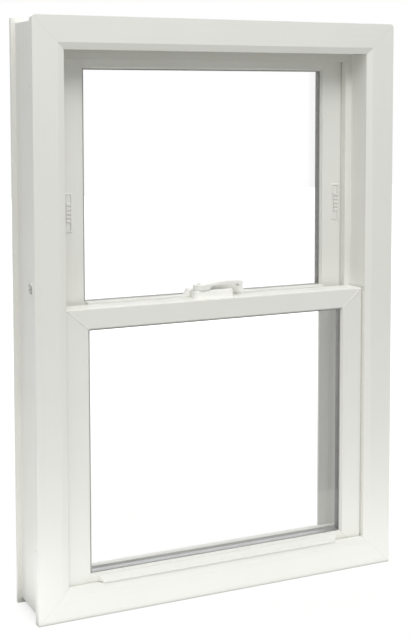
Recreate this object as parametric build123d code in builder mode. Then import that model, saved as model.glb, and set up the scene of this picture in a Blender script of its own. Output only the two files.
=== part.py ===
import os

from build123d import *

os.makedirs("parts", exist_ok=True)

# Millimetres. X runs across the window, Y from the room to the weather side, Z up from the sill's seat.
width = 470.0
height = 686.0

# Depths through the frame, from the room face to the weather face
stop_depth = 7.6
lower_play = 0.8
sash_thickness = 28.2
parting_depth = 8.0
upper_play = 1.0
weather_play = 3.0
weather_leg_depth = 5.0

# Frame extrusion, measured inward from the outer edge
side_recess = 5.5
flange_depth = 10.0
face_width = 29.6
bevel_run = 7.8
bevel_depth = 3.0
bevel_round = 3.0
bevel_nose = 0.8
corner_round = 4.0
pocket_floor = 24.0
parting_reach = 8.8
weather_leg_edge = 28.0

# Sash extrusion, shared by both sashes
stile_width = 29.0
side_play = 1.2
sash_round = 1.4
sash_bevel = 2.2
sight_round = 1.5
glass_front = 4.5
pane_thickness = 3.0
air_gap = 8.5
glass_bite = 13.0
glass_edge_gap = 2.0
spacer_height = 10.8
bead_setback = 7.0
bead_land = 2.0
bead_run = 5.0

# Rails of the two sashes
lower_top_rail = 25.0
lower_bottom_rail = 23.8
upper_top_rail = 33.6
upper_meeting_rail = 29.0
meeting_level = 356.5
meeting_step = 2.0
interlock_gap = 0.8
interlock_thickness = 6.0

# Trim on the weather side
cover_round = 1.0
notch_setback = 6.9
notch_length = 17.3
notch_height = 2.6
notch_depth = 8.0
weather_stop_reach = 32.3
weather_head_reach = 23.0
weather_stop_bevel = 2.0
sill_back_height = 39.5
sill_drop = 7.2
weep_length = 24.0
weep_height = 5.0
weep_depth = 4.0
weep_level = 15.0
weep_spacing = 260.0

# Lift rail on the lower sash
lift_inset = 7.2
lift_reach = 7.4
lift_gap = 0.5
lift_nose = 2.2
lift_wall = 1.6
lift_taper = 5.0
lift_top_step = 0.95

# Cam lock: base on the lower sash, keeper on the upper sash, lever above the base
base_length = 53.0
base_depth = 18.0
base_height = 9.0
base_offset = -4.2
base_setback = 8.6
base_taper = 9.0
base_round = 1.4
hub_offset = -21.0
hub_radius = 8.4
hub_height = 6.4
pivot_gap = 0.3
lever_reach = 55.8
lever_rise = 5.2
lever_thickness = 4.5
lever_crest = 33.0
lever_fall = 1.0
lever_tip_width = 8.6
lever_tab = 5.4
lever_tab_drop = 3.0
rivet_radius = 3.4
rivet_height = 1.6
keeper_length = 80.0
keeper_depth = 9.6
keeper_height = 7.0
keeper_offset = 6.5
keeper_setback = 1.2
keeper_ramp = 4.0
keeper_round = 0.8
hood_length = 45.0
hood_height = 10.6
hood_offset = 5.5
hood_ramp = 3.0

# Vent latches on the upper stiles
latch_inset = 3.6
latch_rise = 104.5
latch_width = 9.6
latch_length = 46.0
latch_proud = 1.2
latch_rim = 1.9
latch_bevel = 0.6
slide_play = 0.3
slide_thickness = 0.8
rib_count = 5
rib_pitch = 4.8
rib_height = 3.0
rib_proud = 1.2

# Jamb adjusters and fixing holes in the frame sides
adjuster_setback = 25.0
adjuster_rise = 25.0
adjuster_radius = 6.2
adjuster_head = 3.2
adjuster_round = 0.9
drive_width = 1.8
drive_depth = 1.4
fixing_setback = 26.0
fixing_from_end = 78.0
fixing_radius = 2.5

# Positions that follow from the sizes
lower_face = stop_depth + lower_play
parting_front = lower_face + sash_thickness + lower_play
parting_back = parting_front + parting_depth
upper_face = parting_back + upper_play
weather_leg_front = upper_face + sash_thickness + weather_play
depth = weather_leg_front + weather_leg_depth
left = -width / 2
room_face = -depth / 2
bevel_edge = face_width + bevel_run
parting_edge = bevel_edge + parting_reach
glass_back = glass_front + 2 * pane_thickness + air_gap
upright = (0, 0, 1)
across = (1, 0, 0)

frame_outline = [
    (0, 0),
    (face_width, 0),
    (bevel_edge, bevel_depth),
    (bevel_edge, stop_depth),
    (pocket_floor, stop_depth),
    (pocket_floor, parting_front),
    (parting_edge, parting_front),
    (parting_edge, parting_back),
    (pocket_floor, parting_back),
    (pocket_floor, weather_leg_front),
    (weather_leg_edge, weather_leg_front),
    (weather_leg_edge, depth),
    (0, depth),
    (0, weather_leg_front),
    (side_recess, weather_leg_front),
    (side_recess, flange_depth),
    (0, flange_depth),
]


# Section of the frame: x inward from the outer edge, y back from the room face
def draw_frame_profile():
    section = Polygon(*frame_outline, align=None)
    fillet(section.vertices().sort_by_distance((face_width, 0))[0], bevel_round)
    fillet(section.vertices().sort_by_distance((bevel_edge, bevel_depth))[0], bevel_nose)


# Section of a sash member: x inward from its outer edge, y back from the sash face
def draw_sash_profile(face):
    bead_edge = face - bead_setback
    section = Polygon(
        (0, 0),
        (face - sash_bevel, 0),
        (face, glass_front),
        (face - glass_bite, glass_front),
        (face - glass_bite, glass_back),
        (bead_edge, glass_back),
        (bead_edge, glass_back + bead_land),
        (bead_edge - bead_run, sash_thickness),
        (0, sash_thickness),
        align=None,
    )
    fillet(section.vertices().sort_by_distance((0, 0))[0], sash_round)
    fillet(section.vertices().sort_by_distance((face - sash_bevel, 0))[0], sight_round)


# Plane of a section that runs up: its x is the window's X, its y the window's Y
def upright_plane(x, y, z):
    return Plane((x, y, z), x_dir=across, z_dir=upright)


# Plane of a section that runs to the left: its x points up, its y to the weather side
def sill_plane(x, y, z):
    return Plane((x, y, z), x_dir=upright, z_dir=(-1, 0, 0))


# Plane of a section that runs to the right: its x points down, its y to the weather side
def head_plane(x, y, z):
    return Plane((x, y, z), x_dir=(0, 0, -1), z_dir=across)


# Plane of a flat piece seen from the room: its x is the window's X, its y points up
def room_plane(x, y, z):
    return Plane((x, y, z), x_dir=across, z_dir=(0, -1, 0))


# Plane on the left jamb's side: its x points to the weather side
def side_plane(x, y, z):
    return Plane((x, y, z), x_dir=(0, 1, 0), z_dir=(-1, 0, 0))


# Waste that rounds the flange's top corners after welding
with BuildPart() as left_corner_waste:
    with BuildSketch(room_plane(left, room_face, height)):
        Rectangle(corner_round, corner_round, align=(Align.MIN, Align.MAX))
        with Locations((corner_round, -corner_round)):
            Circle(corner_round, mode=Mode.SUBTRACT)
    extrude(amount=-flange_depth)

with BuildPart() as right_corner_waste:
    mirror(left_corner_waste.part, about=Plane.YZ)

# Frame: four lengths of one extrusion, mitred at 45 degrees
with BuildPart() as frame_left_jamb:
    with BuildSketch(upright_plane(left, room_face, 0)):
        draw_frame_profile()
    extrude(amount=height)
    split(bisect_by=Plane((left, 0, 0), z_dir=(-1, 0, 1)), keep=Keep.TOP)
    split(bisect_by=Plane((left, 0, height), z_dir=(-1, 0, -1)), keep=Keep.TOP)
    with BuildSketch(Plane((left, room_face + fixing_setback, 0), x_dir=upright, z_dir=across)):
        with Locations((fixing_from_end, 0), (height - fixing_from_end, 0)):
            Circle(fixing_radius)
    extrude(amount=pocket_floor, mode=Mode.SUBTRACT)
    add(left_corner_waste.part, mode=Mode.SUBTRACT)

with BuildPart() as frame_right_jamb:
    mirror(frame_left_jamb.part, about=Plane.YZ)

with BuildPart() as plain_sill:
    with BuildSketch(sill_plane(-left, room_face, 0)):
        draw_frame_profile()
    extrude(amount=width)
    split(bisect_by=Plane((left, 0, 0), z_dir=(1, 0, -1)), keep=Keep.TOP)
    split(bisect_by=Plane((-left, 0, 0), z_dir=(-1, 0, -1)), keep=Keep.TOP)

with BuildPart() as frame_head:
    mirror(plain_sill.part, about=Plane((0, 0, height / 2), z_dir=upright))
    add(left_corner_waste.part, mode=Mode.SUBTRACT)
    add(right_corner_waste.part, mode=Mode.SUBTRACT)

with BuildPart() as frame_sill:
    add(plain_sill.part)
    with BuildSketch(room_plane(0, -room_face, weep_level)):
        with GridLocations(weep_spacing, 0, 2, 1):
            SlotOverall(weep_length, weep_height)
    extrude(amount=weep_depth, mode=Mode.SUBTRACT)

# Track covers that close the pockets of the jambs, flush with the stop and the parting leg
track_height = height - 2 * pocket_floor
with BuildPart() as inner_track_cover_left:
    with BuildSketch(upright_plane(left + pocket_floor, room_face + stop_depth, pocket_floor)):
        Rectangle(bevel_edge - pocket_floor, parting_front - stop_depth, align=Align.MIN)
    extrude(amount=track_height)
    fillet(
        inner_track_cover_left.edges().filter_by(Axis.Z).group_by(Axis.X)[-1].sort_by(Axis.Y)[0],
        cover_round,
    )
    notch_y = room_face + stop_depth + notch_setback
    with BuildSketch(side_plane(left + bevel_edge, notch_y, height - bevel_edge)):
        Rectangle(notch_length, notch_height, align=(Align.MIN, Align.MAX))
    extrude(amount=notch_depth, mode=Mode.SUBTRACT)

with BuildPart() as inner_track_cover_right:
    mirror(inner_track_cover_left.part, about=Plane.YZ)

with BuildPart() as outer_track_cover_left:
    with BuildSketch(upright_plane(left + pocket_floor, room_face + parting_back, pocket_floor)):
        Rectangle(parting_edge - pocket_floor, weather_leg_front - parting_back, align=Align.MIN)
    extrude(amount=track_height)
    fillet(
        outer_track_cover_left.edges().filter_by(Axis.Z).group_by(Axis.X)[-1].sort_by(Axis.Y)[-1],
        cover_round,
    )

with BuildPart() as outer_track_cover_right:
    mirror(outer_track_cover_left.part, about=Plane.YZ)

# Sloped weather sill between the outer track covers, with a lip over the weather leg
sill_length = width - 2 * parting_edge
sill_front_height = sill_back_height - sill_drop
with BuildPart() as weather_sill:
    with BuildSketch(sill_plane(sill_length / 2, room_face, 0)):
        with BuildLine():
            Polyline(
                (pocket_floor, parting_back),
                (sill_back_height, parting_back),
                (sill_front_height, depth),
                (weather_leg_edge, depth),
                (weather_leg_edge, weather_leg_front),
                (pocket_floor, weather_leg_front),
                close=True,
            )
        make_face()
    extrude(amount=sill_length)

# Weather stops: they stand on the sloped sill and hold the upper sash from outside
slope_share = (weather_leg_front - parting_back) / (depth - parting_back)
stop_foot = sill_back_height - sill_drop * slope_share
with BuildPart() as weather_stop_left:
    with BuildSketch(upright_plane(left + weather_leg_edge, room_face + weather_leg_front, stop_foot)):
        Rectangle(weather_stop_reach, weather_leg_depth, align=Align.MIN)
    extrude(amount=height - weather_leg_edge - stop_foot)
    chamfer(
        weather_stop_left.edges().filter_by(Axis.Z).group_by(Axis.X)[-1].sort_by(Axis.Y)[-1],
        weather_stop_bevel,
    )

with BuildPart() as weather_stop_right:
    mirror(weather_stop_left.part, about=Plane.YZ)

head_stop_length = width - 2 * (weather_leg_edge + weather_stop_reach)
with BuildPart() as weather_stop_head:
    with BuildSketch(
        head_plane(-head_stop_length / 2, room_face + weather_leg_front, height - weather_leg_edge)
    ):
        Rectangle(weather_head_reach, weather_leg_depth, align=Align.MIN)
    extrude(amount=head_stop_length)
    chamfer(
        weather_stop_head.edges().filter_by(Axis.X).group_by(Axis.Z)[0].sort_by(Axis.Y)[-1],
        weather_stop_bevel,
    )

# Lower sash, welded at its mitred corners, standing on the sill's pocket floor
lower_y = room_face + lower_face
lower_left = left + bevel_edge + side_play
lower_foot = pocket_floor
lower_width = -2 * lower_left
with BuildPart() as lower_sash_left_stile:
    with BuildSketch(upright_plane(lower_left, lower_y, lower_foot)):
        draw_sash_profile(stile_width)
    extrude(amount=meeting_level - lower_foot)
    split(bisect_by=Plane((lower_left, 0, lower_foot), z_dir=(-lower_bottom_rail, 0, stile_width)))
    split(bisect_by=Plane((lower_left, 0, meeting_level), z_dir=(-lower_top_rail, 0, -stile_width)))

with BuildPart() as lower_sash_right_stile:
    mirror(lower_sash_left_stile.part, about=Plane.YZ)

with BuildPart() as lower_sash_bottom_rail:
    with BuildSketch(sill_plane(-lower_left, lower_y, lower_foot)):
        draw_sash_profile(lower_bottom_rail)
    extrude(amount=lower_width)
    split(bisect_by=Plane((lower_left, 0, lower_foot), z_dir=(lower_bottom_rail, 0, -stile_width)))
    split(bisect_by=Plane((-lower_left, 0, lower_foot), z_dir=(-lower_bottom_rail, 0, -stile_width)))

with BuildPart() as lower_sash_top_rail:
    with BuildSketch(head_plane(lower_left, lower_y, meeting_level)):
        draw_sash_profile(lower_top_rail)
    extrude(amount=lower_width)
    split(bisect_by=Plane((lower_left, 0, meeting_level), z_dir=(lower_top_rail, 0, stile_width)))
    split(bisect_by=Plane((-lower_left, 0, meeting_level), z_dir=(-lower_top_rail, 0, stile_width)))

# Upper sash, seated against the head's pocket floor
upper_y = room_face + upper_face
upper_left = left + parting_edge + side_play
upper_head = height - pocket_floor
upper_width = -2 * upper_left
upper_rail_level = meeting_level + meeting_step
upper_foot = upper_rail_level - upper_meeting_rail
with BuildPart() as upper_sash_left_stile:
    with BuildSketch(upright_plane(upper_left, upper_y, upper_foot)):
        draw_sash_profile(stile_width)
    extrude(amount=upper_head - upper_foot)
    split(bisect_by=Plane((upper_left, 0, upper_foot), z_dir=(-upper_meeting_rail, 0, stile_width)))
    split(bisect_by=Plane((upper_left, 0, upper_head), z_dir=(-upper_top_rail, 0, -stile_width)))

with BuildPart() as upper_sash_right_stile:
    mirror(upper_sash_left_stile.part, about=Plane.YZ)

with BuildPart() as upper_sash_top_rail:
    with BuildSketch(head_plane(upper_left, upper_y, upper_head)):
        draw_sash_profile(upper_top_rail)
    extrude(amount=upper_width)
    split(bisect_by=Plane((upper_left, 0, upper_head), z_dir=(upper_top_rail, 0, stile_width)))
    split(bisect_by=Plane((-upper_left, 0, upper_head), z_dir=(-upper_top_rail, 0, stile_width)))

# The meeting rail reaches over to the lower sash with an interlock lip
interlock_reach = lower_play + parting_depth + upper_play - interlock_gap
with BuildPart() as upper_sash_meeting_rail:
    with BuildSketch(sill_plane(-upper_left, upper_y, upper_foot)):
        draw_sash_profile(upper_meeting_rail)
    extrude(amount=upper_width)
    split(bisect_by=Plane((upper_left, 0, upper_foot), z_dir=(upper_meeting_rail, 0, -stile_width)))
    split(bisect_by=Plane((-upper_left, 0, upper_foot), z_dir=(-upper_meeting_rail, 0, -stile_width)))
    with BuildSketch(head_plane(upper_left + stile_width, upper_y + glass_front, upper_rail_level)):
        Rectangle(interlock_thickness, interlock_reach + glass_front, align=(Align.MIN, Align.MAX))
    extrude(amount=upper_width - 2 * stile_width)

# Double glazing: two panes with a spacer round their edge in each sash
pane_bite = glass_bite - glass_edge_gap
lower_pane_width = lower_width - 2 * stile_width + 2 * pane_bite
lower_pane_low = lower_foot + lower_bottom_rail - pane_bite
lower_pane_height = meeting_level - lower_top_rail + pane_bite - lower_pane_low
upper_pane_width = upper_width - 2 * stile_width + 2 * pane_bite
upper_pane_low = upper_rail_level - pane_bite
upper_pane_height = upper_head - upper_top_rail + pane_bite - upper_pane_low
pane_align = (Align.CENTER, Align.MIN)

with BuildPart() as lower_inner_pane:
    with BuildSketch(room_plane(0, lower_y + glass_front, lower_pane_low)):
        Rectangle(lower_pane_width, lower_pane_height, align=pane_align)
    extrude(amount=-pane_thickness)

with BuildPart() as lower_outer_pane:
    with BuildSketch(room_plane(0, lower_y + glass_back - pane_thickness, lower_pane_low)):
        Rectangle(lower_pane_width, lower_pane_height, align=pane_align)
    extrude(amount=-pane_thickness)

with BuildPart() as lower_glass_spacer:
    with BuildSketch(room_plane(0, lower_y + glass_front + pane_thickness, lower_pane_low)):
        Rectangle(lower_pane_width, lower_pane_height, align=pane_align)
        with Locations((0, lower_pane_height / 2)):
            Rectangle(
                lower_pane_width - 2 * spacer_height,
                lower_pane_height - 2 * spacer_height,
                mode=Mode.SUBTRACT,
            )
    extrude(amount=-air_gap)

with BuildPart() as upper_inner_pane:
    with BuildSketch(room_plane(0, upper_y + glass_front, upper_pane_low)):
        Rectangle(upper_pane_width, upper_pane_height, align=pane_align)
    extrude(amount=-pane_thickness)

with BuildPart() as upper_outer_pane:
    with BuildSketch(room_plane(0, upper_y + glass_back - pane_thickness, upper_pane_low)):
        Rectangle(upper_pane_width, upper_pane_height, align=pane_align)
    extrude(amount=-pane_thickness)

with BuildPart() as upper_glass_spacer:
    with BuildSketch(room_plane(0, upper_y + glass_front + pane_thickness, upper_pane_low)):
        Rectangle(upper_pane_width, upper_pane_height, align=pane_align)
        with Locations((0, upper_pane_height / 2)):
            Rectangle(
                upper_pane_width - 2 * spacer_height,
                upper_pane_height - 2 * spacer_height,
                mode=Mode.SUBTRACT,
            )
    extrude(amount=-air_gap)

# Lift rail: a sloped finger lip along the lower sash's bottom rail, with tapered ends
lift_half = lower_width / 2 - stile_width - lift_inset
lift_top = lower_foot + lower_bottom_rail - sash_bevel - lift_top_step
lift_low = bevel_edge + lift_gap
lift_nose_top = lift_low + lift_nose
lift_root = lift_nose_top - lift_wall
with BuildPart() as lift_rail:
    with BuildSketch(sill_plane(lift_half, lower_y, 0)):
        with BuildLine():
            Polyline(
                (lift_top, 0),
                (lift_nose_top, -lift_reach),
                (lift_low, -lift_reach),
                (lift_low, -lift_reach + lift_wall),
                (lift_root, -lift_reach + lift_wall),
                (lift_root, 0),
                close=True,
            )
        lift_section = make_face()
        fillet(lift_section.vertices().sort_by_distance((lift_nose_top, -lift_reach))[0], lift_wall / 2)
    extrude(amount=2 * lift_half)
    split(bisect_by=Plane((-lift_half, lower_y, 0), z_dir=(lift_reach, lift_taper, 0)))
    split(bisect_by=Plane((lift_half, lower_y, 0), z_dir=(-lift_reach, lift_taper, 0)))

# Lock base: a drafted housing on the lower sash's top rail
base_y = lower_y + base_setback + base_depth / 2
with BuildPart() as lock_base:
    with BuildSketch(upright_plane(base_offset, base_y, meeting_level)):
        RectangleRounded(base_length, base_depth, base_depth / 3)
    extrude(amount=base_height, taper=base_taper)
    fillet(lock_base.faces().sort_by(Axis.Z)[-1].edges(), base_round)

# Lock keeper: a plate on the upper sash's interlock lip, with a hood over the cam
keeper_front = upper_y - interlock_reach + keeper_setback
keeper_half = keeper_length / 2
hood_left = hood_offset - hood_length / 2
hood_right = hood_offset + hood_length / 2
with BuildPart() as lock_keeper:
    with BuildSketch(room_plane(keeper_offset, keeper_front, upper_rail_level)):
        with BuildLine():
            Polyline(
                (-keeper_half, 0),
                (-keeper_half + keeper_ramp, keeper_height),
                (hood_left - hood_ramp, keeper_height),
                (hood_left, hood_height),
                (hood_right, hood_height),
                (hood_right + hood_ramp, keeper_height),
                (keeper_half - keeper_ramp, keeper_height),
                (keeper_half, 0),
                close=True,
            )
        make_face()
    extrude(amount=-keeper_depth)
    chamfer(lock_keeper.faces().sort_by(Axis.Y)[0].edges().sort_by(Axis.Z)[1:], keeper_round)

# Lock lever: hub over the base, an arm that rises from it and a turned-down finger tab
lever_floor = meeting_level + base_height + pivot_gap
arm_low = lever_rise - pivot_gap
arm_high = arm_low + lever_thickness
with BuildPart() as lock_lever:
    with BuildSketch(room_plane(hub_offset, base_y, lever_floor)):
        with BuildLine():
            Polyline(
                (hub_radius, 0),
                (-hub_radius, 0),
                (-hub_radius, hub_height),
                (0, hub_height),
                (lever_crest, arm_high),
                (lever_reach, arm_high - lever_fall),
                (lever_reach, arm_low - lever_tab_drop),
                (lever_reach - lever_tab, arm_low - lever_tab_drop),
                (lever_reach - lever_tab, arm_low),
                (hub_radius + arm_low, arm_low),
                close=True,
            )
        make_face()
    extrude(amount=hub_radius, both=True)
    with BuildSketch(upright_plane(hub_offset, base_y, lever_floor - lever_tab_drop)):
        Circle(hub_radius)
        with BuildLine():
            Polyline(
                (0, -hub_radius),
                (lever_reach, -lever_tip_width / 2),
                (lever_reach, lever_tip_width / 2),
                (0, hub_radius),
                close=True,
            )
        make_face()
    extrude(amount=arm_high + lever_tab_drop, mode=Mode.INTERSECT)
    with BuildSketch(upright_plane(hub_offset, base_y, lever_floor + hub_height)):
        Circle(rivet_radius)
    extrude(amount=rivet_height)

# Vent latches: a bezel and a ribbed slide on each upper stile
latch_x = upper_left + latch_inset + latch_width / 2
latch_z = upper_rail_level + latch_rise
slide_width = latch_width - 2 * latch_rim - 2 * slide_play
slide_length = latch_length - 2 * latch_rim - 2 * slide_play

with BuildPart() as vent_latch_bezel_left:
    with BuildSketch(room_plane(latch_x, upper_y, latch_z)):
        RectangleRounded(latch_width, latch_length, latch_rim - latch_bevel)
        Rectangle(latch_width - 2 * latch_rim, latch_length - 2 * latch_rim, mode=Mode.SUBTRACT)
    extrude(amount=latch_proud)
    chamfer(vent_latch_bezel_left.faces().sort_by(Axis.Y)[0].outer_wire().edges(), latch_bevel)

with BuildPart() as vent_latch_bezel_right:
    mirror(vent_latch_bezel_left.part, about=Plane.YZ)

with BuildPart() as vent_latch_slide_left:
    with BuildSketch(room_plane(latch_x, upper_y, latch_z)):
        Rectangle(slide_width, slide_length)
    extrude(amount=slide_thickness)
    with BuildSketch(room_plane(latch_x, upper_y - slide_thickness, latch_z)):
        with GridLocations(0, rib_pitch, 1, rib_count):
            Rectangle(slide_width, rib_height)
    extrude(amount=rib_proud)

with BuildPart() as vent_latch_slide_right:
    mirror(vent_latch_slide_left.part, about=Plane.YZ)

# Jamb adjusters: round slotted heads in the side recess of the frame
adjuster_z = meeting_level + adjuster_rise
adjuster_x = left + side_recess
adjuster_y = room_face + adjuster_setback
with BuildPart() as jamb_adjuster_left:
    with BuildSketch(side_plane(adjuster_x, adjuster_y, adjuster_z)):
        Circle(adjuster_radius)
    extrude(amount=adjuster_head)
    fillet(jamb_adjuster_left.faces().sort_by(Axis.X)[0].edges(), adjuster_round)
    with BuildSketch(side_plane(adjuster_x - adjuster_head, adjuster_y, adjuster_z)):
        Rectangle(2 * adjuster_radius, drive_width)
    extrude(amount=-drive_depth, mode=Mode.SUBTRACT)

with BuildPart() as jamb_adjuster_right:
    mirror(jamb_adjuster_left.part, about=Plane.YZ)

pieces = {
    "frame_left_jamb": frame_left_jamb,
    "frame_right_jamb": frame_right_jamb,
    "frame_head": frame_head,
    "frame_sill": frame_sill,
    "inner_track_cover_left": inner_track_cover_left,
    "inner_track_cover_right": inner_track_cover_right,
    "outer_track_cover_left": outer_track_cover_left,
    "outer_track_cover_right": outer_track_cover_right,
    "weather_sill": weather_sill,
    "weather_stop_left": weather_stop_left,
    "weather_stop_right": weather_stop_right,
    "weather_stop_head": weather_stop_head,
    "lower_sash_left_stile": lower_sash_left_stile,
    "lower_sash_right_stile": lower_sash_right_stile,
    "lower_sash_bottom_rail": lower_sash_bottom_rail,
    "lower_sash_top_rail": lower_sash_top_rail,
    "upper_sash_left_stile": upper_sash_left_stile,
    "upper_sash_right_stile": upper_sash_right_stile,
    "upper_sash_top_rail": upper_sash_top_rail,
    "upper_sash_meeting_rail": upper_sash_meeting_rail,
    "lower_inner_pane": lower_inner_pane,
    "lower_outer_pane": lower_outer_pane,
    "lower_glass_spacer": lower_glass_spacer,
    "upper_inner_pane": upper_inner_pane,
    "upper_outer_pane": upper_outer_pane,
    "upper_glass_spacer": upper_glass_spacer,
    "lift_rail": lift_rail,
    "lock_base": lock_base,
    "lock_keeper": lock_keeper,
    "lock_lever": lock_lever,
    "vent_latch_bezel_left": vent_latch_bezel_left,
    "vent_latch_bezel_right": vent_latch_bezel_right,
    "vent_latch_slide_left": vent_latch_slide_left,
    "vent_latch_slide_right": vent_latch_slide_right,
    "jamb_adjuster_left": jamb_adjuster_left,
    "jamb_adjuster_right": jamb_adjuster_right,
}
for name, piece in pieces.items():
    piece.part.label = name
    export_step(piece.part, f"parts/{name}.step")
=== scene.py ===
import bpy
import math
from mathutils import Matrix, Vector


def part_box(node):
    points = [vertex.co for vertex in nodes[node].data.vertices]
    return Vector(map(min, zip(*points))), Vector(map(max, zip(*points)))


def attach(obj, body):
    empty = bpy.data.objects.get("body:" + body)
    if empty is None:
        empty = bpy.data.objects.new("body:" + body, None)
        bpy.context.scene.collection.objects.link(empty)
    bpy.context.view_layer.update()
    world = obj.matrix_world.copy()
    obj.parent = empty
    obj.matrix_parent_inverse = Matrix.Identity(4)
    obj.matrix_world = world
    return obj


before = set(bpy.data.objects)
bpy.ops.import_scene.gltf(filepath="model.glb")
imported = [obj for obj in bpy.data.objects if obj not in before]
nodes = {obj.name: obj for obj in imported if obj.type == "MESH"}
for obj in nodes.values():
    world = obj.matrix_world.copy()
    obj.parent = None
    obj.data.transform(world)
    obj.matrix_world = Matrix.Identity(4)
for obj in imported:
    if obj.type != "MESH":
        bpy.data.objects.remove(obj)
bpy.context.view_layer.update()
mm = 0.001
print("frame loaded:", len(nodes), "nodes")


def linear(hexColour):
    # sRGB hex to the linear colour that the shader sockets take
    out = []
    for i in (1, 3, 5):
        c = int(hexColour[i:i + 2], 16) / 255
        out.append(c / 12.92 if c <= 0.04045 else ((c + 0.055) / 1.055) ** 2.4)
    return (out[0], out[1], out[2], 1.0)


def addNode(tree, kind, settings=None, links=None):
    node = tree.nodes.new(kind)
    for name, value in (settings or {}).items():
        if isinstance(name, int) or name in node.inputs:
            node.inputs[name].default_value = value
        else:
            setattr(node, name, value)
    for name, (source, output) in (links or {}).items():
        tree.links.new(source.outputs[output], node.inputs[name])
    return node


def newMaterial(name):
    material = bpy.data.materials.new(name)
    material.use_nodes = True
    tree = material.node_tree
    return material, tree, tree.nodes["Principled BSDF"]


def deselectAll():
    if bpy.context.object and bpy.context.object.mode != "OBJECT":
        bpy.ops.object.mode_set(mode="OBJECT")
    bpy.ops.object.select_all(action="DESELECT")


def dress(piece, material):
    piece.data.materials.clear()
    piece.data.materials.append(material)


def weldLines(side, foot, head):
    # the welds run from each outer corner to the corner of the opening, alike on both sides
    sideLow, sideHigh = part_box(side)
    footLow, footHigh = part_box(foot)
    headLow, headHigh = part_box(head)
    stile = sideHigh[0] - sideLow[0]
    lines = []
    ends = ((footHigh[2] - footLow[2], sideLow[2], 1), (headHigh[2] - headLow[2], sideHigh[2], -1))
    for rail, level, up in ends:
        length = math.hypot(rail, stile)
        lines.append(((-rail / length, 0, -up * stile / length),
                      (-sideLow[0] * rail + up * level * stile) / length))
    return lines


vinylLook = {
    "light": "#EDEDE8",
    "dark": "#EBEBE5",
    "weldGrooveAndShade": "#DDDED6",
    "roughness": (0.34, 0.44),
    "streakAcross": 3.0 * mm,  # die lines are finer, drawn as coarse as they need to show
    "streakAlong": 400 * mm,
    "mottle": 55 * mm,
    "edgeRound": 0.45 * mm,
    "bump": 0.012 * mm,
    "weldWidth": 0.9 * mm,  # from the middle of the weld to its edge
    "weldDepth": 0.16 * mm,
    "weldShows": 0.3,
}


def whiteVinyl(name, along, corners):
    # PVC-U, extruded through a die and welded: even satin white, faint die lines along the length,
    # softened edges and a shallow scraped groove on each welded corner, painted darker along its middle as
    # painted shade in the groove
    look = vinylLook
    material, tree, shader = newMaterial(name)
    place = addNode(tree, "ShaderNodeTexCoord")
    scales = [1 / look["streakAcross"]] * 3
    scales["XYZ".index(along)] = 1 / look["streakAlong"]
    stretch = addNode(tree, "ShaderNodeMapping", {"Scale": scales}, {"Vector": (place, "Object")})
    dieLines = addNode(tree, "ShaderNodeTexNoise", {"Scale": 1.0, "Detail": 3.0},
                       {"Vector": (stretch, "Vector")})
    mottle = addNode(tree, "ShaderNodeTexNoise", {"Scale": 1 / look["mottle"], "Detail": 2.0},
                     {"Vector": (place, "Object")})
    both = addNode(tree, "ShaderNodeMath", {"operation": "MULTIPLY"},
                   {0: (dieLines, "Fac"), 1: (mottle, "Fac")})
    tone = addNode(tree, "ShaderNodeMapRange", {"From Min": 0.12, "From Max": 0.42},
                   {"Value": (both, "Value")})
    colour = addNode(tree, "ShaderNodeMix",
                     {"data_type": "RGBA", 6: linear(look["light"]), 7: linear(look["dark"])},
                     {0: (tone, "Result")})
    gloss = addNode(tree, "ShaderNodeMapRange",
                    {"From Min": 0.3, "From Max": 0.7,
                     "To Min": look["roughness"][0], "To Max": look["roughness"][1]},
                    {"Value": (dieLines, "Fac")})
    surface = addNode(tree, "ShaderNodeBevel", {"samples": 6, "Radius": look["edgeRound"]})
    if corners:
        mirrored = addNode(tree, "ShaderNodeVectorMath", {"operation": "ABSOLUTE"}, {0: (place, "Object")})
        gaps = []
        for direction, offset in corners:
            across = addNode(tree, "ShaderNodeVectorMath", {"operation": "DOT_PRODUCT", 1: direction},
                             {0: (mirrored, "Vector")})
            moved = addNode(tree, "ShaderNodeMath", {"operation": "ADD", 1: offset}, {0: (across, "Value")})
            gaps.append(addNode(tree, "ShaderNodeMath", {"operation": "ABSOLUTE"}, {0: (moved, "Value")}))
        nearest = addNode(tree, "ShaderNodeMath", {"operation": "MINIMUM"},
                          {0: (gaps[0], "Value"), 1: (gaps[1], "Value")})
        weldGrooveAndShade = addNode(tree, "ShaderNodeMapRange",
                       {"interpolation_type": "SMOOTHSTEP", "From Min": 0.0, "From Max": look["weldWidth"],
                        "To Min": look["weldShows"], "To Max": 0.0},
                       {"Value": (nearest, "Value")})
        # painted shade: the middle of the weld groove is mixed toward a darker colour, standing in for the
        # groove's shade
        colour = addNode(tree, "ShaderNodeMix", {"data_type": "RGBA", 7: linear(look["weldGrooveAndShade"])},
                         {0: (weldGrooveAndShade, "Result"), 6: (colour, 2)})
        surface = addNode(tree, "ShaderNodeBump",
                          {"invert": True, "Strength": 1.0, "Distance": look["weldDepth"]},
                          {"Height": (weldGrooveAndShade, "Result"), "Normal": (surface, "Normal")})
    bump = addNode(tree, "ShaderNodeBump", {"Strength": 0.5, "Distance": look["bump"]},
                   {"Height": (dieLines, "Fac"), "Normal": (surface, "Normal")})
    shader.inputs["IOR"].default_value = 1.53
    tree.links.new(colour.outputs[2], shader.inputs["Base Color"])
    tree.links.new(gloss.outputs["Result"], shader.inputs["Roughness"])
    tree.links.new(bump.outputs["Normal"], shader.inputs["Normal"])
    return material


hardwareLook = {
    "whiteCoatedZinc": {"light": "#FBFBF7", "dark": "#F5F5F0", "roughness": (0.24, 0.36), "peel": 1.6 * mm,
                        "edgeRound": 0.5 * mm},
    "whiteAcetal": {"light": "#EEEEE9", "dark": "#EBEBE6", "roughness": (0.34, 0.44), "peel": 2.5 * mm,
                    "edgeRound": 0.6 * mm},
}


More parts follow.
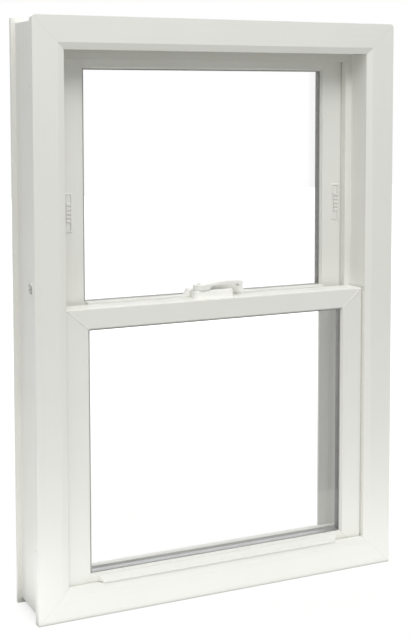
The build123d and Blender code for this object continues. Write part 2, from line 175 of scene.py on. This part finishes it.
def whiteHardware(name):
    # zinc casting with a baked white coat, whiter and glossier than the vinyl and with a fine orange peel,
    # or moulded acetal as white as the vinyl
    look = hardwareLook[name]
    material, tree, shader = newMaterial(name)
    place = addNode(tree, "ShaderNodeTexCoord")
    peel = addNode(tree, "ShaderNodeTexNoise", {"Scale": 1 / look["peel"], "Detail": 1.0},
                   {"Vector": (place, "Object")})
    colour = addNode(tree, "ShaderNodeMix",
                     {"data_type": "RGBA", 6: linear(look["light"]), 7: linear(look["dark"])},
                     {0: (peel, "Fac")})
    gloss = addNode(tree, "ShaderNodeMapRange",
                    {"To Min": look["roughness"][0], "To Max": look["roughness"][1]},
                    {"Value": (peel, "Fac")})
    soft = addNode(tree, "ShaderNodeBevel", {"samples": 6, "Radius": look["edgeRound"]})
    bump = addNode(tree, "ShaderNodeBump", {"Strength": 0.35, "Distance": 0.03 * mm},
                   {"Height": (peel, "Fac"), "Normal": (soft, "Normal")})
    shader.inputs["IOR"].default_value = 1.5
    tree.links.new(colour.outputs[2], shader.inputs["Base Color"])
    tree.links.new(gloss.outputs["Result"], shader.inputs["Roughness"])
    tree.links.new(bump.outputs["Normal"], shader.inputs["Normal"])
    return material


glassLook = {"colour": "#FFFFFF", "film": 90 * mm, "roughness": (0.0, 0.012)}


def clearGlass(name):
    # float glass, polished: colourless, with a faint film of dust that only the gloss shows
    look = glassLook
    material, tree, shader = newMaterial(name)
    place = addNode(tree, "ShaderNodeTexCoord")
    film = addNode(tree, "ShaderNodeTexNoise", {"Scale": 1 / look["film"], "Detail": 4.0},
                   {"Vector": (place, "Object")})
    gloss = addNode(tree, "ShaderNodeMapRange",
                    {"From Min": 0.45, "From Max": 0.75,
                     "To Min": look["roughness"][0], "To Max": look["roughness"][1]},
                    {"Value": (film, "Fac")})
    shader.inputs["Base Color"].default_value = linear(look["colour"])
    shader.inputs["Transmission Weight"].default_value = 1.0
    shader.inputs["IOR"].default_value = 1.52
    tree.links.new(gloss.outputs["Result"], shader.inputs["Roughness"])
    return material


# top is the colour of a painted highlight that upward faces take
metalLook = {
    "millAluminium": {"light": "#868583", "dark": "#7A7977", "top": "#D4D6D7",
                      "roughness": (0.45, 0.6), "grain": 2.0 * mm},
    "platedZinc": {"light": "#9A9996", "dark": "#787774", "top": "#E2E1DE",
                   "roughness": (0.22, 0.38), "grain": 1.2 * mm},
}


def bareMetal(name):
    # rolled aluminium or plated zinc: grey, with a short grain, and paler on upward faces as a painted
    # highlight of the light from above
    look = metalLook[name]
    material, tree, shader = newMaterial(name)
    place = addNode(tree, "ShaderNodeTexCoord")
    grain = addNode(tree, "ShaderNodeTexNoise", {"Scale": 1 / look["grain"], "Detail": 3.0},
                    {"Vector": (place, "Object")})
    colour = addNode(tree, "ShaderNodeMix",
                     {"data_type": "RGBA", 6: linear(look["light"]), 7: linear(look["dark"])},
                     {0: (grain, "Fac")})
    facing = addNode(tree, "ShaderNodeNewGeometry")
    upward = addNode(tree, "ShaderNodeSeparateXYZ", None, {0: (facing, "Normal")})
    # painted highlight: faces turned up are mixed toward the pale top colour, as if lit from above
    paintedTopLight = addNode(tree, "ShaderNodeMapRange", {"From Min": 0.3, "From Max": 0.9}, {"Value": (upward, "Z")})
    colour = addNode(tree, "ShaderNodeMix", {"data_type": "RGBA", 7: linear(look["top"])},
                     {0: (paintedTopLight, "Result"), 6: (colour, 2)})
    gloss = addNode(tree, "ShaderNodeMapRange",
                    {"To Min": look["roughness"][0], "To Max": look["roughness"][1]},
                    {"Value": (grain, "Fac")})
    shader.inputs["Metallic"].default_value = 1.0
    tree.links.new(colour.outputs[2], shader.inputs["Base Color"])
    tree.links.new(gloss.outputs["Result"], shader.inputs["Roughness"])
    return material


sealLook = {
    "whitePile": {"light": "#E9E8E3", "dark": "#C9C8C2", "nap": 0.5 * mm, "bump": 0.15 * mm, "roughness": 0.95},
    # the gasket's grey is partly its own colour and partly painted shade for the gap at the glass edge
    "softGasket": {"light": "#ABABA7", "dark": "#9F9F9B", "nap": 4.0 * mm, "bump": 0.02 * mm, "roughness": 0.6},
}


def softSeal(name):
    # polypropylene pile or soft PVC gasket: matt, the pile with a fine tufted nap
    look = sealLook[name]
    material, tree, shader = newMaterial(name)
    place = addNode(tree, "ShaderNodeTexCoord")
    nap = addNode(tree, "ShaderNodeTexNoise", {"Scale": 1 / look["nap"], "Detail": 2.0},
                  {"Vector": (place, "Object")})
    colour = addNode(tree, "ShaderNodeMix",
                     {"data_type": "RGBA", 6: linear(look["light"]), 7: linear(look["dark"])},
                     {0: (nap, "Fac")})
    bump = addNode(tree, "ShaderNodeBump", {"Strength": 0.6, "Distance": look["bump"]},
                   {"Height": (nap, "Fac")})
    shader.inputs["Roughness"].default_value = look["roughness"]
    shader.inputs["IOR"].default_value = 1.49
    tree.links.new(colour.outputs[2], shader.inputs["Base Color"])
    tree.links.new(bump.outputs["Normal"], shader.inputs["Normal"])
    return material


vinylSets = {
    "frame_": weldLines("frame_left_jamb", "frame_sill", "frame_head"),
    "lower_sash": weldLines("lower_sash_left_stile", "lower_sash_bottom_rail", "lower_sash_top_rail"),
    "upper_sash": weldLines("upper_sash_left_stile", "upper_sash_meeting_rail", "upper_sash_top_rail"),
    "": (),
}
levelNodes = ("frame_head", "frame_sill", "weather_sill", "weather_stop_head", "lift_rail",
              "lower_sash_bottom_rail", "lower_sash_top_rail",
              "upper_sash_top_rail", "upper_sash_meeting_rail")
vinyl = {}
for start, corners in vinylSets.items():
    for along in "XZ":
        vinyl[start, along] = whiteVinyl("whiteVinyl_" + start + along, along, corners)
coatedWhite = whiteHardware("whiteCoatedZinc")
mouldedWhite = whiteHardware("whiteAcetal")
glass = clearGlass("clearFloatGlass")
aluminium = bareMetal("millAluminium")
zinc = bareMetal("platedZinc")
pile = softSeal("whitePile")
gasket = softSeal("softGasket")

for name, node in nodes.items():
    if name.endswith("_pane"):
        dress(node, glass)
    elif name.endswith("_spacer"):
        dress(node, aluminium)
    elif name.startswith("jamb_adjuster"):
        dress(node, zinc)
    elif name.startswith("lock_"):
        dress(node, coatedWhite)
    elif name.startswith("vent_latch"):
        dress(node, mouldedWhite)
    else:
        start = next(s for s in vinylSets if name.startswith(s))
        dress(node, vinyl[start, "X" if name in levelNodes else "Z"])
print("materials given to", len(nodes), "nodes")


smoothUnder = math.radians(50)  # edges sharper than this stay sharp


def finishPiece(piece, name, material):
    piece.name = name
    deselectAll()
    piece.select_set(True)
    bpy.context.view_layer.objects.active = piece
    bpy.ops.object.transform_apply(location=True, rotation=True, scale=True)
    bpy.ops.object.shade_smooth_by_angle(angle=smoothUnder)
    dress(piece, material)
    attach(piece, "window")


pileSeal = {
    "setBack": 1.1 * mm,
    "deep": 5.0 * mm,
    "tall": 4.0 * mm,  # of the strips along the sill and the head
    "crown": 0.45 * mm,
    "crownShare": 0.45,  # at most, of the strip's thinnest side
    "sunk": 0.4 * mm,
    "fromFoot": 14 * mm,
    "fromTop": 2 * mm,
    "fromEnds": 1 * mm,
    "longEdge": 9 * mm,  # longer edges run along the strip
}


def pileStrip(name, low, high):
    # a bar between two corners, its room edge crowned as the tufts are
    deselectAll()
    bpy.ops.mesh.primitive_cube_add(size=1, location=[(a + b) / 2 for a, b in zip(low, high)])
    strip = bpy.context.object
    strip.scale = [b - a for a, b in zip(low, high)]
    bpy.ops.object.transform_apply(location=True, rotation=True, scale=True)
    bpy.ops.object.mode_set(mode="EDIT")
    bpy.ops.mesh.select_mode(type="EDGE")
    bpy.ops.mesh.select_all(action="DESELECT")
    bpy.ops.object.mode_set(mode="OBJECT")
    longest = max(range(3), key=lambda i: high[i] - low[i])
    for edge in strip.data.edges:
        ends = [strip.data.vertices[v].co for v in edge.vertices]
        alongStrip = abs(ends[0][longest] - ends[1][longest]) > pileSeal["longEdge"]
        edge.select = alongStrip and max(e.y for e in ends) < low[1] + 1e-6
    bpy.ops.object.mode_set(mode="EDIT")
    thinnest = min(b - a for a, b in zip(low, high))
    bpy.ops.mesh.bevel(offset=min(pileSeal["crown"], pileSeal["crownShare"] * thinnest), segments=3)
    bpy.ops.object.mode_set(mode="OBJECT")
    finishPiece(strip, name, pile)
    return strip


def oppositePiece(piece, name):
    # the same piece at the other side of the window
    material = piece.data.materials[0]
    deselectAll()
    piece.select_set(True)
    bpy.context.view_layer.objects.active = piece
    bpy.ops.object.duplicate(linked=False)
    copy = bpy.context.object
    bpy.ops.object.mode_set(mode="EDIT")
    bpy.ops.mesh.select_all(action="SELECT")
    bpy.ops.transform.mirror(constraint_axis=(True, False, False), orient_type="GLOBAL",
                             center_override=(0, 0, 0))
    bpy.ops.mesh.normals_make_consistent(inside=False)
    bpy.ops.object.mode_set(mode="OBJECT")
    finishPiece(copy, name, material)


sashTracks = (("lower_sash", "inner_track_cover_left"), ("upper_sash", "outer_track_cover_left"))
for sash, cover in sashTracks:
    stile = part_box(sash + "_left_stile")
    face = stile[0][1] + pileSeal["setBack"]
    left = pileStrip(sash + "_pile_left", (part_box(cover)[1][0], face, stile[0][2] + pileSeal["fromFoot"]),
                     (stile[0][0], face + pileSeal["deep"], stile[1][2] - pileSeal["fromTop"]))
    oppositePiece(left, sash + "_pile_right")

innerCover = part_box("inner_track_cover_left")
# the stop is as high on the sill as it is wide on the jamb
stopTop = innerCover[1][0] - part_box("frame_left_jamb")[0][0]
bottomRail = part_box("lower_sash_bottom_rail")
pileStrip("lower_sash_pile_foot",
          (bottomRail[0][0] + pileSeal["fromEnds"], innerCover[0][1], stopTop - pileSeal["tall"]),
          (bottomRail[1][0] - pileSeal["fromEnds"], bottomRail[0][1], stopTop - pileSeal["sunk"]))
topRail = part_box("upper_sash_top_rail")
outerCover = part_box("outer_track_cover_left")
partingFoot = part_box("frame_head")[0][2]
pileStrip("upper_sash_pile_head",
          (topRail[0][0] + pileSeal["fromEnds"], outerCover[0][1], partingFoot + pileSeal["sunk"]),
          (topRail[1][0] - pileSeal["fromEnds"], topRail[0][1], partingFoot + pileSeal["tall"]))
print("pile seals made")


gasketLook = {
    "wide": 1.1 * mm,
    "thick": 0.9 * mm,
    "under": 0.25 * mm,  # hidden by the sash on the room side
    "weatherSetBack": 7.3 * mm,
    "round": 0.3 * mm,
}


def glazingGasket(name, pane, low, high, outward):
    # a flat ring on the face of the pane, pushed out to its thickness and rounded
    deselectAll()
    middle = ((low[0] + high[0]) / 2, pane, (low[1] + high[1]) / 2)
    bpy.ops.mesh.primitive_plane_add(size=1, location=middle, rotation=(math.radians(90), 0, 0))
    ring = bpy.context.object
    ring.scale = (high[0] - low[0], high[1] - low[1], 1)
    bpy.ops.object.transform_apply(location=True, rotation=True, scale=True)
    bpy.ops.object.mode_set(mode="EDIT")
    bpy.ops.mesh.select_mode(type="FACE")
    bpy.ops.mesh.select_all(action="SELECT")
    bpy.ops.mesh.inset(thickness=gasketLook["wide"])
    bpy.ops.mesh.delete(type="FACE")
    bpy.ops.mesh.select_all(action="SELECT")
    bpy.ops.mesh.extrude_region_move(TRANSFORM_OT_translate={"value": (0, outward * gasketLook["thick"], 0)})
    bpy.ops.mesh.select_all(action="SELECT")
    bpy.ops.mesh.normals_make_consistent(inside=False)
    bpy.ops.object.mode_set(mode="OBJECT")
    rounding = ring.modifiers.new("rounding", "BEVEL")
    rounding.width = gasketLook["round"]
    rounding.segments = 2
    rounding.limit_method = "ANGLE"
    bpy.ops.object.modifier_apply(modifier=rounding.name)
    finishPiece(ring, name, gasket)


for sash, foot in (("lower", "lower_sash_bottom_rail"), ("upper", "upper_sash_meeting_rail")):
    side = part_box(sash + "_sash_left_stile")[1][0]
    bottom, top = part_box(foot)[1][2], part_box(sash + "_sash_top_rail")[0][2]
    faces = (("room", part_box(sash + "_inner_pane")[0][1], gasketLook["under"], -1),
             ("weather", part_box(sash + "_outer_pane")[1][1], gasketLook["weatherSetBack"], 1))
    for where, pane, out, outward in faces:
        glazingGasket(sash + "_gasket_" + where, pane, (side - out, bottom - out),
                      (-side + out, top + out), outward)
print("glazing gaskets made")

weldBead = {
    "lower_sash": {"wide": 1.6 * mm, "proud": 0.6 * mm},
    "upper_sash": {"wide": 1.1 * mm, "proud": 0.2 * mm},  # scraped closer
    "inset": 0.8 * mm,
    "endRound": 0.12 * mm,
    "sides": 16,
}


def sashWeld(name, start, end, face, look):
    # a round bar along the corner, flattened, rounded at its ends and cut off at the face it stands on
    run = Vector((end[0] - start[0], 0, end[1] - start[1]))
    deselectAll()
    bpy.ops.mesh.primitive_cylinder_add(vertices=weldBead["sides"], radius=look["wide"] / 2, depth=run.length,
                                        location=((start[0] + end[0]) / 2, 0, (start[1] + end[1]) / 2),
                                        rotation=(0, math.atan2(run.x, run.z), 0))
    bead = bpy.context.object
    bpy.ops.object.transform_apply(location=True, rotation=True, scale=True)
    bead.scale = (1, look["proud"] / (look["wide"] / 2), 1)
    bead.location = (0, face, 0)
    bpy.ops.object.transform_apply(location=True, rotation=True, scale=True)
    rounding = bead.modifiers.new("rounding", "BEVEL")
    rounding.width = weldBead["endRound"]
    rounding.segments = 2
    rounding.limit_method = "ANGLE"
    rounding.angle_limit = math.radians(60)
    bpy.ops.object.modifier_apply(modifier=rounding.name)
    bpy.ops.object.mode_set(mode="EDIT")
    bpy.ops.mesh.select_all(action="SELECT")
    bpy.ops.mesh.bisect(plane_co=(0, face, 0), plane_no=(0, 1, 0), use_fill=True, clear_outer=True)
    bpy.ops.mesh.select_all(action="SELECT")
    bpy.ops.mesh.normals_make_consistent(inside=False)
    bpy.ops.object.mode_set(mode="OBJECT")
    finishPiece(bead, name, vinyl["", "Z"])
    return bead


for sash, foot in (("lower_sash", "lower_sash_bottom_rail"), ("upper_sash", "upper_sash_meeting_rail")):
    low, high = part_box(sash + "_left_stile")
    levels = (("foot", low[2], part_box(foot)[1][2]), ("head", high[2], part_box(sash + "_top_rail")[0][2]))
    reach = (low[0] + weldBead["inset"], high[0] - weldBead["inset"])
    for level, outer, inner in levels:
        slope = (inner - outer) / (high[0] - low[0])
        ends = [(x, outer + (x - low[0]) * slope) for x in reach]
        bead = sashWeld(sash + "_weld_" + level + "_left", ends[0], ends[1], low[1], weldBead[sash])
        oppositePiece(bead, sash + "_weld_" + level + "_right")
print("sash welds made")


def seenRays(tree):
    # 1 for camera, glossy and transmitted rays, 0 for the rays that light other things
    path = addNode(tree, "ShaderNodeLightPath")
    seen = addNode(tree, "ShaderNodeMath", {"operation": "MAXIMUM"},
                   {0: (path, "Is Camera Ray"), 1: (path, "Is Glossy Ray")})
    return addNode(tree, "ShaderNodeMath", {"operation": "MAXIMUM"},
                   {0: (seen, "Value"), 1: (path, "Is Transmission Ray")})


stageLook = {"floor": "#8C8C8A", "size": 12.0, "glow": (0.71, 1.1), "reach": (0.5, 2.2)}
deselectAll()
bpy.ops.mesh.primitive_plane_add(size=stageLook["size"])
floor = bpy.context.object
floor.name = "floor"
material, tree, shader = newMaterial("paleFloor")
# a floor that is seen white, still takes the shadow, and lights the window no more than a grey one
seen = seenRays(tree)
place = addNode(tree, "ShaderNodeTexCoord")
away = addNode(tree, "ShaderNodeVectorMath", {"operation": "LENGTH"}, {0: (place, "Object")})
lift = addNode(tree, "ShaderNodeMapRange",
               {"From Min": stageLook["reach"][0], "From Max": stageLook["reach"][1],
                "To Min": stageLook["glow"][0], "To Max": stageLook["glow"][1]},
               {"Value": (away, "Value")})
glow = addNode(tree, "ShaderNodeMath", {"operation": "MULTIPLY"}, {0: (seen, "Value"), 1: (lift, "Result")})
shader.inputs["Base Color"].default_value = linear(stageLook["floor"])
shader.inputs["Roughness"].default_value = 0.9
shader.inputs["Emission Color"].default_value = (1, 1, 1, 1)
tree.links.new(glow.outputs["Value"], shader.inputs["Emission Strength"])
dress(floor, material)

worldLook = {"light": 0.39, "seen": 1.0}
world = bpy.data.worlds.new("studio")
bpy.context.scene.world = world
world.use_nodes = True
tree = world.node_tree
seen = seenRays(tree)
level = addNode(tree, "ShaderNodeMapRange", {"To Min": worldLook["light"], "To Max": worldLook["seen"]},
                {"Value": (seen, "Value")})
tree.links.new(level.outputs["Result"], tree.nodes["Background"].inputs["Strength"])
tree.nodes["Background"].inputs["Color"].default_value = (1, 1, 1, 1)

# the two cards stand for the bright floor close to the window's foot
lamps = {
    "overhead": {"at": (-0.35, -0.55, 2.1), "aim": (-0.3, -0.5, 0), "size": (2.4, 2.0), "watts": 29},
    "front": {"at": (-0.3, -1.4, 1.95), "aim": (0, 0, 0.3), "size": (1.4, 0.8), "watts": 15},
    "behind": {"at": (0.3, 1.5, 1.8), "aim": (0, 0.05, 0.3), "size": (1.6, 1.0), "watts": 21},
    "frontCard": {"at": (0.1, -0.173, 0.0005), "aim": (0.1, -0.173, 1.0), "size": (1.7, 0.26), "watts": 1.3},
    "leftCard": {"at": (-0.55, 0.0, 0.0005), "aim": (-0.55, 0.0, 1.0), "size": (0.6, 0.4), "watts": 0.5},
}
for name, lamp in lamps.items():
    bpy.ops.object.light_add(type="AREA", location=lamp["at"])
    light = bpy.context.object
    light.name = name
    light.data.shape = "RECTANGLE"
    light.data.size, light.data.size_y = lamp["size"]
    light.data.energy = lamp["watts"]
    light.visible_camera = light.visible_transmission = False
    light.rotation_euler = (Vector(lamp["aim"]) - Vector(lamp["at"])).to_track_quat("-Z", "Y").to_euler()

view = {
    "at": (-0.66527, -1.36984, 0.59253),
    "yaw": 25.692,
    "pitch": 4.334,
    "roll": 0.089,
    "lens": 71.22,
    "rise": -0.1937,
}
bpy.ops.object.camera_add(location=view["at"])
camera = bpy.context.object
camera.name = "photoView"
turns = (90 - view["pitch"], view["roll"], -view["yaw"])
camera.rotation_euler = [math.radians(turn) for turn in turns]
camera.data.lens = view["lens"]
camera.data.shift_y = view["rise"]
bpy.context.scene.camera = camera
bpy.context.scene.view_settings.view_transform = "Standard"
print("floor, lamps and camera set")
